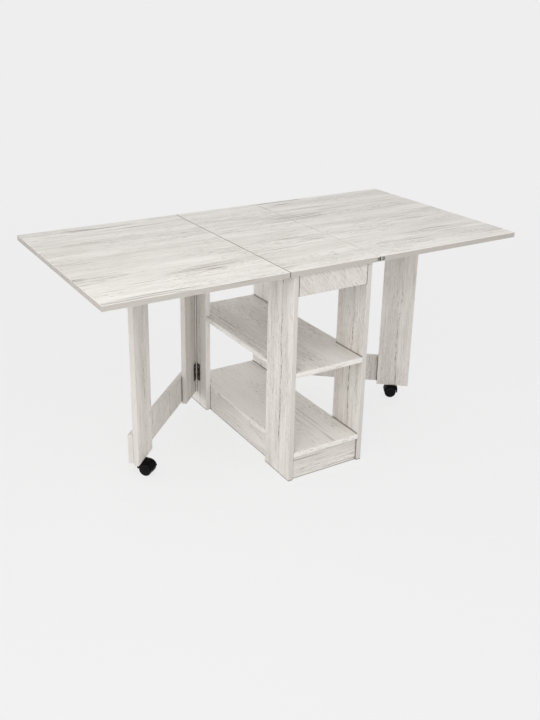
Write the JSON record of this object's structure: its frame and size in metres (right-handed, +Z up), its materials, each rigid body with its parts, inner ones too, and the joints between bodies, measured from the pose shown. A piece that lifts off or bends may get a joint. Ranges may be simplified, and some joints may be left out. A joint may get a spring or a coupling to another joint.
{
  "type": "gate-leg table with storage cabinet",
  "caption": "Pale wood-look drop-leaf kitchen table: open two-shelf cabinet in the middle, two leaves held up by swinging gates on twin-wheel casters.",
  "frame": {"origin": "On the floor under the middle of the open tabletop.", "axes": "+X along the top's length to the right leaf, +Y to the back of the cabinet, +Z up."},
  "size_m": [1.57, 0.8, 0.75],
  "materials": {
    "board_top": "satin",
    "board_post": "satin",
    "board_gate_upright": "satin",
    "board_gate_rail": "satin",
    "board_shelf": "satin",
    "board_rail": "satin",
    "dark_hinge_steel": "satin",
    "hinge_pin_steel": "brushed",
    "zinc_steel": "satin",
    "black_plastic": "gloss"
  },
  "bodies": {
    "cabinet": {"apron_back": "board_rail", "apron_front": "board_rail", "bottom_shelf": "board_shelf", "edge_plate_centre": "dark_hinge_steel", "left_gate_hinge_fixed_leaves": "dark_hinge_steel", "left_gate_hinge_pins": "hinge_pin_steel", "left_plinth_side": "board_rail", "left_post_back": "board_post", "left_post_front": "board_post", "left_seam_hinge_fixed_leaves": "dark_hinge_steel", "middle_shelf": "board_shelf", "plinth_back": "board_rail", "plinth_front": "board_rail", "right_gate_hinge_fixed_leaves": "dark_hinge_steel", "right_gate_hinge_pins": "hinge_pin_steel", "right_plinth_side": "board_rail", "right_post_back": "board_post", "right_post_front": "board_post", "right_seam_hinge_fixed_leaves": "dark_hinge_steel", "top_centre": "board_top"},
    "left_leaf": {"left_leaf": "board_top", "left_seam_hinge_moving_leaves": "dark_hinge_steel"},
    "left_gate": {"left_caster_socket": "zinc_steel", "left_gate_hinge_moving_leaves": "dark_hinge_steel", "left_gate_hinge_post": "board_gate_upright", "left_gate_leg": "board_gate_upright", "left_gate_rail": "board_gate_rail"},
    "left_caster": {"left_caster_axle": "zinc_steel", "left_caster_hood": "black_plastic", "left_caster_stem": "zinc_steel"},
    "left_wheel_inner": {"left_caster_wheel_inner": "black_plastic"},
    "left_wheel_outer": {"left_caster_wheel_outer": "black_plastic"},
    "right_leaf": {"edge_plate_leaf": "dark_hinge_steel", "right_leaf": "board_top", "right_seam_hinge_moving_leaves": "dark_hinge_steel"},
    "right_gate": {"right_caster_socket": "zinc_steel", "right_gate_hinge_moving_leaves": "dark_hinge_steel", "right_gate_hinge_post": "board_gate_upright", "right_gate_leg": "board_gate_upright", "right_gate_rail": "board_gate_rail"},
    "right_caster": {"right_caster_axle": "zinc_steel", "right_caster_hood": "black_plastic", "right_caster_stem": "zinc_steel"},
    "right_wheel_inner": {"right_caster_wheel_inner": "black_plastic"},
    "right_wheel_outer": {"right_caster_wheel_outer": "black_plastic"}
  },
  "joints": [
    {"name": "left_leaf_hinge", "type": "hinge", "parent": "cabinet", "child": "left_leaf", "pos_m": [-0.174, 0, 0.7295], "axis": [0, 1, 0], "range_deg": [0, 5]},
    {"name": "left_gate_hinge", "type": "hinge", "parent": "cabinet", "child": "left_gate", "pos_m": [-0.1545, 0.281, 0.39], "axis": [0, 0, -1], "range_deg": [-41.9, 44]},
    {"name": "left_caster_swivel", "type": "hinge", "parent": "left_gate", "child": "left_caster", "pos_m": [-0.55525, -0.09001, 0.052], "axis": [0, 0, 1], "continuous": true},
    {"name": "left_wheel_inner_spin", "type": "hinge", "parent": "left_caster", "child": "left_wheel_inner", "pos_m": [-0.53241, -0.10061, 0.0225], "axis": [-0.809, -0.5878, 0], "continuous": true},
    {"name": "left_wheel_outer_spin", "type": "hinge", "parent": "left_caster", "child": "left_wheel_outer", "pos_m": [-0.55223, -0.11501, 0.0225], "axis": [-0.809, -0.5878, 0], "continuous": true},
    {"name": "right_leaf_hinge", "type": "hinge", "parent": "cabinet", "child": "right_leaf", "pos_m": [0.174, 0, 0.7295], "axis": [0, -1, 0], "range_deg": [0, 5]},
    {"name": "right_gate_hinge", "type": "hinge", "parent": "cabinet", "child": "right_gate", "pos_m": [0.1545, 0.281, 0.39], "axis": [0, 0, 1], "range_deg": [-46.4, 39.5]},
    {"name": "right_caster_swivel", "type": "hinge", "parent": "right_gate", "child": "right_caster", "pos_m": [0.58312, -0.05742, 0.052], "axis": [0, 0, 1], "continuous": true},
    {"name": "right_wheel_inner_spin", "type": "hinge", "parent": "right_caster", "child": "right_wheel_inner", "pos_m": [0.57193, -0.03487, 0.0225], "axis": [-0.5664, -0.8241, 0], "continuous": true},
    {"name": "right_wheel_outer_spin", "type": "hinge", "parent": "right_caster", "child": "right_wheel_outer", "pos_m": [0.55805, -0.05506, 0.0225], "axis": [-0.5664, -0.8241, 0], "continuous": true}
  ]
}
